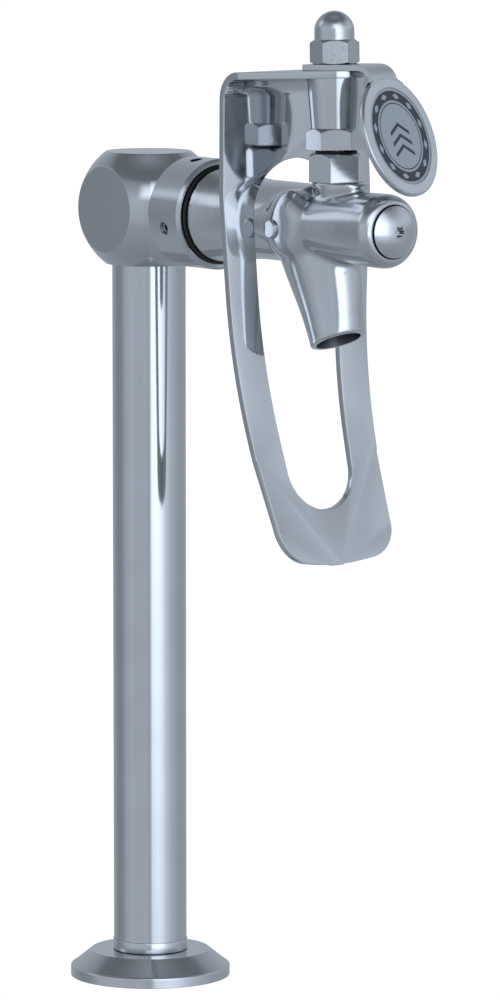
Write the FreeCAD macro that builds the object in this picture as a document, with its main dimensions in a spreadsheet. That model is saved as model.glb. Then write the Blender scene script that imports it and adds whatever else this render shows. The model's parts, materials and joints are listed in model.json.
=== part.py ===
"""Countertop beer tower: flanged column, ball elbow, spring-closed tap and push-back paddle lever.

The frame has +Z up, its origin under the middle of the base flange, and the tap points along -Y.
Lengths are millimetres. The word forward below means the distance from the column axis along -Y.
"""
import FreeCAD, Part
import math
import os
import re

import Sketcher

doc = FreeCAD.newDocument("BeerTower")
sizes = doc.addObject("Spreadsheet::Sheet", "Sizes")

# Driving dimensions
driving = [
    ("flangeRadius", 35.0, "base flange, outer radius"),
    ("flangeRim", 4.7, "height of the flange's straight rim"),
    ("flangeTopRadius", 26.0, "radius of the flat on top of the flange"),
    ("flangeHeight", 11.3, "height of the flange"),
    ("flangeFloor", 3.3, "flange metal left under the column tube"),
    ("flangeEdge", 0.8, "rounded edge of the flange rim"),
    ("lineHoleRadius", 9.0, "hole in the flange for the beer line"),
    ("fixingCircle", 25.0, "radius of the circle of fixing holes"),
    ("fixingRadius", 2.5, "fixing hole, tapping size for M6"),
    ("fixingDepth", 7.0, "depth of the fixing holes"),
    ("fixingCount", 4, "number of fixing holes"),
    ("seatFit", 0.05, "gap where pieces of one assembly seat in each other"),
    ("runFit", 0.05, "radial clearance of a running fit"),
    ("tubeRadius", 16.0, "column tube, outer radius"),
    ("tubeWall", 1.5, "column tube, wall"),
    ("footSealHeight", 1.0, "foot seal, height"),
    ("footSealWidth", 1.2, "foot seal, radial width"),
    ("collarHeight", 4.2, "foot collar, height"),
    ("collarWall", 0.9, "foot collar, wall"),
    ("tapHeight", 338.6, "height of the tap axis above the counter"),
    ("elbowRadius", 30.7, "elbow, radius of the ball"),
    ("elbowFlat", 24.4, "elbow, distance from centre to each flat"),
    ("elbowBore", 8.5, "elbow, radius of the inner passages"),
    ("elbowCavity", 12.5, "elbow, radius of the hollow at its centre"),
    ("spigotLength", 14.0, "elbow spigot inside the column tube"),
    ("spigotGroove", 1.2, "depth of the spigot's seal groove"),
    ("spigotSealWidth", 2.4, "spigot seal, width"),
    ("neckRadius", 17.0, "elbow neck, radius"),
    ("neckLength", 6.3, "elbow neck, length from flat to coupling nut"),
    ("threadRadius", 14.5, "elbow thread inside the coupling nut"),
    ("threadLength", 11.0, "length of that thread"),
    ("lineRadius", 5.0, "beer line, outer radius"),
    ("lineWall", 1.0, "beer line, wall"),
    ("lineBend", 14.0, "beer line, bend radius"),
    ("lineSeatStart", 18.0, "forward place where the line seats in the elbow"),
    ("nutRadius", 23.8, "coupling nut, outer radius"),
    ("nutLength", 20.6, "coupling nut, length"),
    ("nutChamfer", 1.2, "coupling nut, front chamfer"),
    ("spannerRadius", 2.8, "coupling nut, radius of the spanner holes"),
    ("spannerDepth", 5.0, "coupling nut, depth of the spanner holes"),
    ("spannerTurn", 13.5, "first spanner hole, degrees from the top"),
    ("spannerCount", 4, "number of spanner holes"),
    ("lockScrewLength", 3.5, "lock screw, length"),
    ("shankSealThickness", 1.5, "shank seal, thickness"),
    ("shankFlange", 3.0, "tap shank, flange thickness"),
    ("shankFlangeRadius", 17.5, "tap shank, flange radius"),
    ("shankRadius", 12.0, "tap shank, thread radius"),
    ("shankBore", 6.5, "tap shank, bore radius"),
    ("shankLength", 14.0, "tap shank, length in front of its flange"),
    ("gasketThickness", 1.4, "barrel gasket, thickness"),
    ("gasketRadius", 21.4, "barrel gasket, outer radius"),
    ("barrelRearRadius", 20.25, "tap barrel, radius at the coupling nut"),
    ("barrelRadius", 16.9, "tap barrel, radius behind the spout"),
    ("barrelTaperEnd", 85.0, "forward place where the barrel's taper ends"),
    ("barrelSweep", 260.0, "radius of the hollow curve of that taper"),
    ("barrelEnd", 118.0, "forward place where the barrel's straight part ends"),
    ("barrelTail", 15.0, "length of the barrel's tail inside the casting"),
    ("barrelTailRadius", 11.5, "radius at the end of that tail"),
    ("chamberRadius", 11.5, "inlet chamber, radius"),
    ("valveSeat", 84.0, "forward place of the valve seat"),
    ("boreRadius", 8.0, "plunger bore, radius"),
    ("noseRear", 95.0, "forward place where the nose bulge starts"),
    ("noseRearWidth", 18.2, "half width of the bulge there"),
    ("noseRearHeight", 10.8, "half height of the bulge there"),
    ("noseMiddle", 112.0, "forward place of the widest section"),
    ("noseMiddleWidth", 19.2, "half width there"),
    ("noseMiddleHeight", 13.2, "half height there"),
    ("noseNeck", 138.0, "forward place of the section before the nose ring"),
    ("noseNeckWidth", 17.0, "half width there"),
    ("noseNeckHeight", 14.8, "half height there"),
    ("noseRadius", 15.5, "nose, largest radius"),
    ("noseRingStart", 156.0, "forward place where the nose turns round"),
    ("noseRoundStart", 162.4, "forward place where the front edge starts to round"),
    ("noseFront", 167.4, "forward place of the nose face"),
    ("noseFaceRadius", 12.0, "radius of the nose face"),
    ("noseThread", 9.5, "radius of the thread for the nose cap"),
    ("noseThreadDepth", 12.0, "depth of that thread"),
    ("capRadius", 10.9, "nose cap, radius"),
    ("capRecess", 1.6, "depth of the cap's seat below the nose face"),
    ("capEdge", 2.4, "straight edge of the cap"),
    ("capDome", 3.4, "height of the cap's dome"),
    ("capPlugLength", 8.0, "threaded plug behind the cap"),
    ("capSocket", 2.7, "radius of the cap's drive socket"),
    ("capSocketDepth", 2.6, "depth of the drive socket"),
    ("spoutTopForward", 114.5, "spout root, forward place"),
    ("spoutTopAbove", 2.0, "spout root, height above the tap axis"),
    ("spoutTopWidth", 15.0, "spout root, half width"),
    ("spoutTopDepth", 20.2, "spout root, half depth"),
    ("spoutRootForward", 118.0, "spout below the barrel, forward place"),
    ("spoutRootBelow", 11.0, "distance of that section below the tap axis"),
    ("spoutRootWidth", 15.1, "half width there"),
    ("spoutRootDepth", 20.4, "half depth there"),
    ("spoutMidForward", 124.5, "spout half way down, forward place"),
    ("spoutMidBelow", 29.5, "distance of that section below the tap axis"),
    ("spoutMidWidth", 13.2, "half width there"),
    ("spoutMidDepth", 16.8, "half depth there"),
    ("spoutForward", 131.3, "outlet, forward place"),
    ("spoutDrop", 48.0, "outlet, distance below the tap axis"),
    ("spoutRadius", 12.0, "outlet, outer radius"),
    ("outletTilt", 24.0, "outlet face, degrees from level"),
    ("outletBore", 9.6, "outlet, bore radius"),
    ("passageRadius", 6.5, "spout passage where it leaves the plunger bore"),
    ("bonnetForward", 129.6, "forward place of the lever's ball"),
    ("pivotRise", 23.0, "ball centre above the tap axis"),
    ("padRise", 18.7, "bonnet seat above the tap axis"),
    ("padForward", 132.7, "bonnet pad, forward place of its middle"),
    ("padWidth", 10.8, "bonnet pad, half width"),
    ("padDepth", 14.0, "bonnet pad, half depth"),
    ("padThickness", 1.6, "bonnet pad, thickness"),
    ("waistWidth", 9.6, "neck below the pad, half width"),
    ("waistDepth", 12.4, "neck below the pad, half depth"),
    ("waistDrop", 6.5, "distance from pad to waist"),
    ("rootWidth", 12.6, "neck inside the barrel, half width"),
    ("rootDepth", 15.8, "neck inside the barrel, half depth"),
    ("rootRise", 5.0, "neck root above the tap axis"),
    ("bonnetThread", 9.0, "thread under the bonnet nut, radius"),
    ("bonnetThreadHeight", 5.8, "height of that thread"),
    ("ballRadius", 6.5, "lever ball, radius"),
    ("seatRadius", 7.2, "counterbore of the ball seat, radius"),
    ("seatDepth", 3.1, "depth of that counterbore below the pad"),
    ("seatHeight", 4.4, "ball seat, height"),
    ("tailWell", 5.5, "well for the lever's tail, radius"),
    ("bonnetFlats", 21.0, "bonnet nut, size across flats"),
    ("bonnetHeight", 12.0, "bonnet nut, height"),
    ("bonnetTurn", 9.9, "bonnet nut, degrees its corners stand off the front"),
    ("bonnetHole", 4.8, "bonnet nut, hole for the spindle"),
    ("hexChamfer", 2.2, "height of the chamfer on the hexagons"),
    ("wiperThickness", 0.8, "stem wiper, thickness"),
    ("wiperRadius", 8.8, "stem wiper, radius"),
    ("plungerRadius", 4.0, "plunger stem, radius"),
    ("plungerRear", 72.0, "forward place of the plunger's rear end"),
    ("headRadius", 9.8, "plunger head, radius"),
    ("headThickness", 4.0, "plunger head, thickness"),
    ("valveSealRadius", 10.5, "valve seal, radius"),
    ("valveSealThickness", 3.9, "valve seal, thickness"),
    ("collarBehind", 7.0, "plunger collar behind the tail hole"),
    ("collarAhead", 11.0, "plunger collar ahead of the tail hole"),
    ("ringGroove", 1.8, "depth of the plunger's ring groove"),
    ("ringWidth", 2.4, "width of the plunger ring"),
    ("ringFromFront", 2.0, "plunger metal in front of the ring groove"),
    ("springRadius", 7.5, "return spring, mean radius"),
    ("springWire", 0.6, "return spring, wire radius"),
    ("springTurns", 5.0, "return spring, number of turns"),
    ("springEndGap", 0.15, "gap at each end of the spring"),
    ("leverTilt", 1.5, "lever at rest, degrees leaning back"),
    ("stemNeck", 3.5, "lever spindle, neck radius"),
    ("stemThread", 4.0, "lever spindle, thread radius"),
    ("stemThreadLength", 14.0, "lever spindle, thread length"),
    ("tailRadius", 2.0, "lever tail, radius"),
    ("tailBall", 3.0, "lever tail, radius of its ball end"),
    ("tailLength", 17.0, "lever ball to tail ball"),
    ("tailFit", 0.1, "clearance of the tail ball in the plunger"),
    ("sleeveStart", 9.2, "lever ball to the underside of the sleeve"),
    ("sleeveHex", 9.0, "height of the sleeve's hexagon"),
    ("sleeveFlats", 21.6, "lever sleeve, size across flats"),
    ("sleeveTurn", 8.5, "sleeve hexagon, degrees its corners stand off the front"),
    ("sleeveLowRadius", 10.3, "sleeve cone, radius at the hexagon"),
    ("sleeveTopRadius", 11.8, "sleeve cone, radius at the lever plate"),
    ("sleeveLength", 30.1, "sleeve, length"),
    ("studRadius", 6.0, "lever stud, radius of its M12 thread"),
    ("studDepth", 12.0, "lever stud, length in the sleeve"),
    ("studAbove", 14.0, "lever stud, length in the acorn nut"),
    ("plateThickness", 3.0, "lever plate, thickness"),
    ("plateBehind", 27.8, "lever plate, distance of its mid sheet behind the ball"),
    ("plateLean", 1.5, "lever plate, degrees its back leans back"),
    ("plateBend", 9.8, "lever plate, mid radius of the top bend"),
    ("plateKneeBelow", 50.0, "lever ball to the start of the paddle's knee"),
    ("kneeRadius", 235.0, "paddle knee, mid radius"),
    ("kneeAngle", 15.8, "paddle knee, degrees"),
    ("plateFootBelow", 166.8, "lever ball to the foot of the paddle"),
    ("plateHalfCrown", 38.2, "lever plate, half width at its top bend"),
    ("plateHalfTop", 39.5, "lever plate, half width at the shoulder"),
    ("plateShoulderBelow", 10.0, "lever ball to the end of the full width"),
    ("plateHalfMiddle", 37.0, "lever plate, half width at the knee"),
    ("plateHalfFoot", 30.8, "lever plate, half width above the foot"),
    ("footCorner", 13.0, "radius of the foot's corners"),
    ("footRise", 4.0, "rise of the foot's edge at its corners"),
    ("footArc", 150.0, "radius of the foot edge between its corners"),
    ("tongueRadius", 14.6, "lever plate, round end of the tongue"),
    ("slotTopRadius", 23.7, "slot, radius at the top"),
    ("slotTopBelow", 18.8, "lever ball to the centre of that radius"),
    ("slotLowRadius", 17.4, "slot, radius at the foot"),
    ("slotLowBelow", 125.4, "lever ball to the centre of that radius"),
    ("creaseOut", 28.3, "paddle crease, half distance at the top"),
    ("creaseTopBelow", 127.0, "lever ball to the top of the creases"),
    ("creaseIn", 2.6, "paddle crease, half distance at the foot"),
    ("wingAngle", 11.0, "paddle wings, degrees they bend forward"),
    ("stripThickness", 2.5, "badge bracket, thickness"),
    ("stripHalf", 9.0, "badge bracket, half width"),
    ("stripBehind", 10.3, "badge bracket, length behind the stud"),
    ("stripBend", 7.2, "badge bracket, mid radius of the bend"),
    ("badgeHeading", 18.0, "badge, degrees it turns from the front"),
    ("badgeLean", 17.5, "badge face, degrees it leans back from the stem"),
    ("badgeForward", 31.1, "stud axis to badge centre"),
    ("badgeRise", 14.8, "lever ball to badge centre, along the stem"),
    ("badgeRadius", 25.8, "badge, outer radius"),
    ("shoulderAngle", 60.0, "badge, degrees round its rim where the strip's shoulders start"),
    ("badgeThickness", 2.8, "badge, thickness"),
    ("badgeRecess", 20.9, "badge, radius of its recess"),
    ("badgeRecessDepth", 0.9, "badge, depth of its recess"),
    ("badgeEdge", 1.0, "badge, rounded edge"),
    ("insertThickness", 0.6, "badge insert, thickness"),
    ("acornFlats", 18.0, "acorn nut, size across flats"),
    ("acornHex", 10.2, "acorn nut, height of its hexagon"),
    ("acornHeight", 22.2, "acorn nut, height"),
    ("acornDome", 8.4, "acorn nut, dome radius"),
    ("acornChamfer", 1.7, "acorn nut, height of its chamfers"),
    ("acornTurn", 8.0, "acorn nut, degrees its corners stand off the front"),
    ("plugForward", 110.0, "side plug, forward place"),
    ("plugBelow", 1.5, "side plug, distance below the tap axis"),
    ("plugRadius", 4.0, "side plug, radius"),
    ("plugReach", 20.6, "side plug, distance of its face from the tap axis"),
    ("plugRoot", 12.5, "side plug, distance of its inner end"),
    ("plugEdge", 0.6, "side plug, chamfer"),
]
for row, (alias, value, note) in enumerate(driving, start=1):
    sizes.set(f"A{row}", note)
    sizes.set(f"B{row}", str(value))
    sizes.setAlias(f"B{row}", alias)
doc.recompute()

# Places worked out from the driving dimensions
derived = {
    "tubeInner": "tubeRadius - tubeWall",
    "elbowBottom": "tapHeight - elbowFlat",
    "nutStart": "elbowFlat + neckLength",
    "nutEnd": "nutStart + nutLength",
    "threadEnd": "nutStart + threadLength",
    "shankStart": "threadEnd + shankSealThickness + 2 * seatFit",
    "shankFront": "shankStart + shankFlange",
    "shankEnd": "shankFront + shankLength",
    "barrelStart": "nutEnd + gasketThickness + seatFit",
    "capSeat": "noseFront - capRecess",
    "capFront": "capSeat + capEdge + capDome",
    "capSphere": "(capRadius ^ 2 + capDome ^ 2) / (2 * capDome)",
    "pivotHeight": "tapHeight + pivotRise",
    "seatBottom": "padRise - seatDepth",
    "bonnetTop": "padRise + seatFit + bonnetHeight",
    "tailForward": "bonnetForward + tailLength * sin(leverTilt)",
    "headEnd": "valveSeat - valveSealThickness",
    "headStart": "headEnd - headThickness",
    "collarStart": "tailForward - collarBehind",
    "collarEnd": "tailForward + collarAhead",
    "sleeveTop": "sleeveStart + sleeveLength",
    "stripBottom": "sleeveTop + plateThickness",
    "stripTop": "stripBottom + stripThickness",
    "tongueMid": "sleeveTop + plateThickness / 2",
}
aliases = {alias for alias, value, note in driving}


def bind(formula):
    """Turn a formula written in the names above into an expression on the sheet."""
    def swap(match):
        word = match.group(0)
        if word in derived:
            return "(" + bind(derived[word]) + ")"
        return "Sizes." + word if word in aliases else word
    return re.sub(r"[A-Za-z]\w*", swap, str(formula))


def number(formula):
    """Value of such a formula in the sheet as it stands."""
    return float(sizes.evalExpression(bind(formula)))


def spot(x="0", y="0", z="0", turn="rotationz(0)"):
    """Formula of a placement."""
    return f"placement(vector({x}; {y}; {z}); {turn})"


def place(thing, chain="", **where):
    """Bind where a thing stands and how it is turned, in a frame given by a chain of placements."""
    steps = ([chain] if chain else []) + ([spot(**where)] if where or not chain else [])
    thing.setExpression("Placement", bind(" * ".join(steps)))
    return thing


tap_frame = dict(z="tapHeight", turn="rotationz(180)")
lever_frame = dict(y="-bonnetForward", z="pivotHeight", turn="rotationx(-leverTilt)")
bracket_chain = spot(**lever_frame) + " * " + spot(turn="rotationz(badgeHeading)")
badge_chain = bracket_chain + " * " + spot(y="-badgeForward", z="badgeRise", turn="rotationx(-badgeLean)")
plate_frame = dict(y="-bonnetForward", z="pivotHeight", turn="rotationx(-plateLean)")
paddle_chain = spot(**plate_frame) + " * " + spot(y="plateBehind - kneeRadius * (1 - cos(kneeAngle))",
                                                  z="-plateKneeBelow - kneeRadius * sin(kneeAngle)",
                                                  turn="rotationx(-kneeAngle)")


def shape_object(kind, name, where=None, **values):
    """Add a Part object whose sizes are formulas."""
    thing = doc.addObject("Part::" + kind, name)
    for key, formula in values.items():
        thing.setExpression(key, bind(formula))
    return place(thing, **(where or {}))


def cylinder(name, radius, height, **where):
    return shape_object("Cylinder", name, where, Radius=radius, Height=height)


def forward_cylinder(name, radius, start, end, x="0", z="tapHeight"):
    """Cylinder along the tap axis between two forward places."""
    where = dict(x=x, y=f"-({start})", z=z, turn="rotationx(90)")
    return shape_object("Cylinder", name, where, Radius=radius, Height=f"{end} - ({start})")


def group(kind, name, parts):
    """Fuse, or intersect, several objects."""
    thing = doc.addObject("Part::" + kind, name)
    thing.Shapes = parts
    return thing


def cut(name, base, tools):
    """Take tools away from a base."""
    thing = doc.addObject("Part::Cut", name)
    thing.Base = base
    thing.Tool = tools[0] if len(tools) == 1 else group("MultiFuse", name + "_tools", tools)
    return thing


def loft(name, sections):
    thing = doc.addObject("Part::Loft", name)
    thing.Sections = sections
    thing.Solid = True
    return thing


def ellipse(name, major, minor, **where):
    return shape_object("Ellipse", name, where, MajorRadius=major, MinorRadius=minor)


def circle(name, radius, **where):
    return shape_object("Circle", name, where, Radius=radius)


def origin_plane(body, role):
    return next(item for item in body.Origin.OriginFeatures if item.Role == role)


def new_body(name, **where):
    body = doc.addObject("PartDesign::Body", name)
    body.Label = name
    return place(body, **where)


def outline(body, name, role, corners, offset=None):
    """Draw a closed outline on an origin plane, each corner bound to the sheet.

    A corner is (across, up) or (across, up, radius): the third value bends the edge that leads
    to that corner, with its centre to the left of the way when the radius is positive.
    """
    sketch = body.newObject("Sketcher::SketchObject", name)
    sketch.AttachmentSupport = [(origin_plane(body, role), "")]
    sketch.MapMode = "FlatFace"
    if offset:
        sketch.setExpression("AttachmentOffset", bind(offset))
    points = [FreeCAD.Vector(number(c[0]), number(c[1]), 0) for c in corners]
    ends = []
    for index, corner in enumerate(corners):
        first, last = points[index - 1], points[index]
        if len(corner) == 2:
            ends.append((sketch.addGeometry(Part.LineSegment(first, last)), 1, 2))
            continue
        radius = number(corner[2])
        chord = last - first
        side = FreeCAD.Vector(-chord.y, chord.x, 0).normalize()
        height = math.sqrt(radius ** 2 - chord.Length ** 2 / 4)
        centre = (first + last) * 0.5 + side * math.copysign(height, radius)
        begin, end = (first, last) if radius > 0 else (last, first)
        angles = [math.atan2(p.y - centre.y, p.x - centre.x) for p in (begin, end)]
        if angles[1] < angles[0]:
            angles[1] += 2 * math.pi
        arc = Part.ArcOfCircle(Part.Circle(centre, FreeCAD.Vector(0, 0, 1), abs(radius)), *angles)
        geometry = sketch.addGeometry(arc)
        ends.append((geometry, 1, 2) if radius > 0 else (geometry, 2, 1))
        mark = sketch.addConstraint(Sketcher.Constraint("Radius", geometry, abs(radius)))
        sketch.setExpression(f"Constraints[{mark}]", bind(f"abs({corner[2]})"))
    for index, (geometry, begin, end) in enumerate(ends):
        after = ends[(index + 1) % len(ends)]
        sketch.addConstraint(Sketcher.Constraint("Coincident", geometry, end, after[0], after[1]))
        for kind, value, formula in (("DistanceX", points[index].x, corners[index][0]),
                                     ("DistanceY", points[index].y, corners[index][1])):
            mark = sketch.addConstraint(Sketcher.Constraint(kind, -1, 1, geometry, end, value))
            sketch.setExpression(f"Constraints[{mark}]", bind(formula))
    return sketch


def turned(name, corners, axis="V_Axis", where=None):
    """Body of revolution: about its own Z (V_Axis) or its own forward Y (H_Axis)."""
    body = new_body(name, **(where or {}))
    sketch = outline(body, name + "_profile", "XZ_Plane" if axis == "V_Axis" else "YZ_Plane", corners)
    spin = body.newObject("PartDesign::Revolution", name + "_turned")
    spin.Profile = sketch
    spin.ReferenceAxis = (sketch, [axis])
    spin.Angle = 360
    return body


def pad(body, sketch, length, midplane=False, backwards=False):
    feature = body.newObject("PartDesign::Pad", sketch.Name + "_pad")
    feature.Profile = sketch
    feature.SideType = "Symmetric" if midplane else "One side"
    feature.Reversed = backwards
    feature.setExpression("Length", bind(length))
    return feature


def pocket(body, sketch, length, midplane=False, backwards=False):
    feature = body.newObject("PartDesign::Pocket", sketch.Name + "_pocket")
    feature.Profile = sketch
    feature.SideType = "Symmetric" if midplane else "One side"
    feature.Reversed = backwards
    feature.setExpression("Length", bind(length))
    return feature


def hexagon(name, flats, height, where, chamfer, low_chamfer="0"):
    """Hexagon bar with its corners turned off at the top, and below where asked."""
    prism = doc.addObject("Part::Prism", name + "_bar")
    prism.Polygon = 6
    prism.setExpression("Circumradius", bind(f"({flats}) / sqrt(3)"))
    prism.setExpression("Height", bind(height))
    place(prism, **where)
    steep = f"({flats}) / sqrt(3) + 0.5"
    flat = f"({flats}) * 0.48"
    foot = [(steep, "0")] if low_chamfer == "0" else [(flat, "0"), (steep, low_chamfer)]
    cone = turned(name + "_cone", [("0", "0"), *foot, (steep, f"{height} - {chamfer}"), (flat, height),
                                   ("0", height)], where=where)
    return group("MultiCommon", name, [prism, cone])


# Column

def make_base_flange():
    """Turned flange with the tube's socket, the line hole and tapped fixing holes underneath."""
    body = turned("base_flange", [
        ("lineHoleRadius", "0"), ("flangeRadius", "0"), ("flangeRadius", "flangeRim - flangeEdge"),
        ("flangeRadius - flangeEdge", "flangeRim", "flangeEdge"),
        ("flangeTopRadius", "flangeHeight"), ("tubeRadius + seatFit", "flangeHeight"),
        ("tubeRadius + seatFit", "flangeFloor"), ("lineHoleRadius", "flangeFloor")])
    sketch = body.newObject("Sketcher::SketchObject", "fixing_hole")
    sketch.AttachmentSupport = [(origin_plane(body, "XY_Plane"), "")]
    sketch.MapMode = "FlatFace"
    across = number("fixingCircle / sqrt(2)")
    hole = sketch.addGeometry(Part.Circle(FreeCAD.Vector(across, across, 0), FreeCAD.Vector(0, 0, 1),
                                          number("fixingRadius")))
    for kind in ("DistanceX", "DistanceY"):
        mark = sketch.addConstraint(Sketcher.Constraint(kind, -1, 1, hole, 3, across))
        sketch.setExpression(f"Constraints[{mark}]", bind("fixingCircle / sqrt(2)"))
    mark = sketch.addConstraint(Sketcher.Constraint("Radius", hole, number("fixingRadius")))
    sketch.setExpression(f"Constraints[{mark}]", bind("fixingRadius"))
    drilled = pocket(body, sketch, "fixingDepth", backwards=True)
    ring = body.newObject("PartDesign::PolarPattern", "fixing_ring")
    ring.Originals = [drilled]
    ring.Axis = (next(i for i in body.Origin.OriginFeatures if i.Role == "Z_Axis"), [""])
    ring.Angle = 360
    ring.setExpression("Occurrences", bind("fixingCount"))
    body.Tip = ring
    return body


def make_column():
    inner, outer = "tubeRadius + seatFit", "tubeRadius + seatFit + footSealWidth"
    seal_top = "flangeHeight + footSealHeight"
    seal = turned("foot_seal", [(inner, "flangeHeight"), (outer, "flangeHeight"),
                                (outer, seal_top), (inner, seal_top)])
    rim = "tubeRadius + seatFit + collarWall"
    top = "flangeHeight + footSealHeight + collarHeight"
    collar = turned("foot_collar", [(inner, seal_top), (rim, seal_top), (rim, f"{top} - collarWall / 2"),
                                    (f"{rim} - collarWall / 2", top), (inner, top)])
    tube = turned("column_tube", [("tubeInner", "flangeFloor"), ("tubeRadius", "flangeFloor"),
                                  ("tubeRadius", "elbowBottom"), ("tubeInner", "elbowBottom")])
    return [seal, collar, tube]


def make_elbow():
    """Ball with six flats, a spigot down into the tube and a threaded neck towards the tap."""
    ball = shape_object("Sphere", "elbow_ball", dict(z="tapHeight"), Radius="elbowRadius")
    corner = dict(x="-elbowFlat", y="-elbowFlat", z="tapHeight - elbowFlat")
    block = shape_object("Box", "elbow_block", corner, Length="2 * elbowFlat", Width="2 * elbowFlat",
                         Height="2 * elbowFlat")
    faced = group("MultiCommon", "elbow_faced", [ball, block])
    spigot = cylinder("elbow_spigot", "tubeInner - seatFit", "spigotLength + elbowFlat / 2",
                      z="elbowBottom - spigotLength")
    neck = forward_cylinder("elbow_neck", "neckRadius", "elbowFlat / 2", "nutStart - seatFit")
    thread = forward_cylinder("elbow_thread", "threadRadius", "elbowFlat / 2", "threadEnd")
    whole = group("MultiFuse", "elbow_whole", [faced, spigot, neck, thread])
    rise = cylinder("elbow_rise", "elbowBore", "elbowFlat + spigotLength", z="elbowBottom - spigotLength")
    hollow = shape_object("Sphere", "elbow_hollow", dict(z="tapHeight"), Radius="elbowCavity")
    passage = forward_cylinder("elbow_passage", "elbowBore", "0", "lineSeatStart")
    line_seat = forward_cylinder("elbow_line_seat", "lineRadius + seatFit", "0", "threadEnd")
    groove_middle = "elbowBottom - spigotLength / 2"
    groove = turned("elbow_groove", [
        ("tubeInner - spigotGroove", f"{groove_middle} - spigotSealWidth / 2 - seatFit"),
        ("tubeInner + 1", f"{groove_middle} - spigotSealWidth / 2 - seatFit"),
        ("tubeInner + 1", f"{groove_middle} + spigotSealWidth / 2 + seatFit"),
        ("tubeInner - spigotGroove", f"{groove_middle} + spigotSealWidth / 2 + seatFit")])
    body = cut("elbow_body", whole, [rise, hollow, passage, line_seat, groove])
    inner, outer = "tubeInner - spigotGroove + seatFit", "tubeInner - seatFit / 2"
    seal = turned("elbow_seal", [
        (inner, f"{groove_middle} - spigotSealWidth / 2"), (outer, f"{groove_middle} - spigotSealWidth / 2"),
        (outer, f"{groove_middle} + spigotSealWidth / 2"), (inner, f"{groove_middle} + spigotSealWidth / 2")])
    return [body, seal]


def make_beer_line():
    """Stainless line up the column, round the elbow and into its seat behind the tap."""
    solids = []
    for name, radius in (("line_skin", "lineRadius"), ("line_bore", "lineRadius - lineWall")):
        rise = cylinder(name + "_rise", radius, "tapHeight - lineBend")
        bend = shape_object("Torus", name + "_bend",
                            dict(y="-lineBend", z="tapHeight - lineBend", turn="rotation(vector(1; 1; 1); 120)"),
                            Radius1="lineBend", Radius2=radius, Angle3="90")
        run = forward_cylinder(name + "_run", radius, "lineBend", "threadEnd")
        solids.append(group("MultiFuse", name, [rise, bend, run]))
    return cut("beer_line", solids[0], [solids[1]])


# Tap

def make_coupling_nut():
    """Ring nut with four blind spanner holes round its rim; a lock screw sits in one of them."""
    blank = turned("nut_blank", [
        ("nutStart", "threadRadius + seatFit"), ("shankStart - seatFit", "threadRadius + seatFit"),
        ("shankStart - seatFit", "shankFlangeRadius + seatFit"),
        ("shankFront + seatFit", "shankFlangeRadius + seatFit"),
        ("shankFront + seatFit", "shankRadius + seatFit"), ("nutEnd", "shankRadius + seatFit"),
        ("nutEnd", "nutRadius - nutChamfer"), ("nutEnd - nutChamfer", "nutRadius"),
        ("nutStart + nutChamfer / 2", "nutRadius"), ("nutStart", "nutRadius - nutChamfer / 2")],
        axis="H_Axis", where=tap_frame)
    holes = []
    for index in range(int(number("spannerCount"))):
        turn = f"rotationy(-spannerTurn - {index} * 360 / spannerCount)"
        reach = f"spannerTurn + {index} * 360 / spannerCount"
        holes.append(cylinder(f"spanner_hole_{index}", "spannerRadius", "spannerDepth + 2",
                              x=f"-(nutRadius - spannerDepth) * sin({reach})", y="-(nutStart + nutLength / 2)",
                              z=f"tapHeight + (nutRadius - spannerDepth) * cos({reach})", turn=turn))
    nut = cut("coupling_nut", blank, holes)
    reach = "spannerTurn + 360 / spannerCount"
    where = dict(x=f"-(nutRadius - spannerDepth) * sin({reach})", y="-(nutStart + nutLength / 2)",
                 z=f"tapHeight + (nutRadius - spannerDepth) * cos({reach})", turn=f"rotationy(-({reach}))")
    barrel = shape_object("Cylinder", "lock_screw_barrel", where, Radius="spannerRadius - seatFit",
                          Height="lockScrewLength")
    socket = doc.addObject("Part::Prism", "lock_screw_socket")
    socket.Polygon = 6
    socket.setExpression("Circumradius", bind("spannerRadius / 2"))
    socket.setExpression("Height", bind("lockScrewLength / 2 + 1"))
    inward = "(nutRadius - spannerDepth + lockScrewLength / 2)"
    place(socket, x=f"-{inward} * sin({reach})", y="-(nutStart + nutLength / 2)",
          z=f"tapHeight + {inward} * cos({reach})", turn=f"rotationy(-({reach}))")
    screw = cut("lock_screw", barrel, [socket])
    return [nut, screw]


def make_shank():
    shank = turned("tap_shank", [
        ("shankStart", "shankBore"), ("shankEnd", "shankBore"), ("shankEnd", "shankRadius"),
        ("shankFront", "shankRadius"), ("shankFront", "shankFlangeRadius"), ("shankStart", "shankFlangeRadius")],
        axis="H_Axis", where=tap_frame)
    seal = turned("shank_seal", [
        ("threadEnd + seatFit", "shankBore"), ("threadEnd + seatFit + shankSealThickness", "shankBore"),
        ("threadEnd + seatFit + shankSealThickness", "threadRadius - seatFit"),
        ("threadEnd + seatFit", "threadRadius - seatFit")], axis="H_Axis", where=tap_frame)
    gasket_end = "nutEnd + gasketThickness"
    gasket = turned("barrel_gasket", [
        ("nutEnd", "shankRadius + 2 * seatFit"), (gasket_end, "shankRadius + 2 * seatFit"),
        (gasket_end, "gasketRadius - gasketThickness / 2"), ("nutEnd + gasketThickness / 2", "gasketRadius"),
        ("nutEnd", "gasketRadius - gasketThickness / 2")], axis="H_Axis", where=tap_frame)
    return [shank, seal, gasket]


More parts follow.
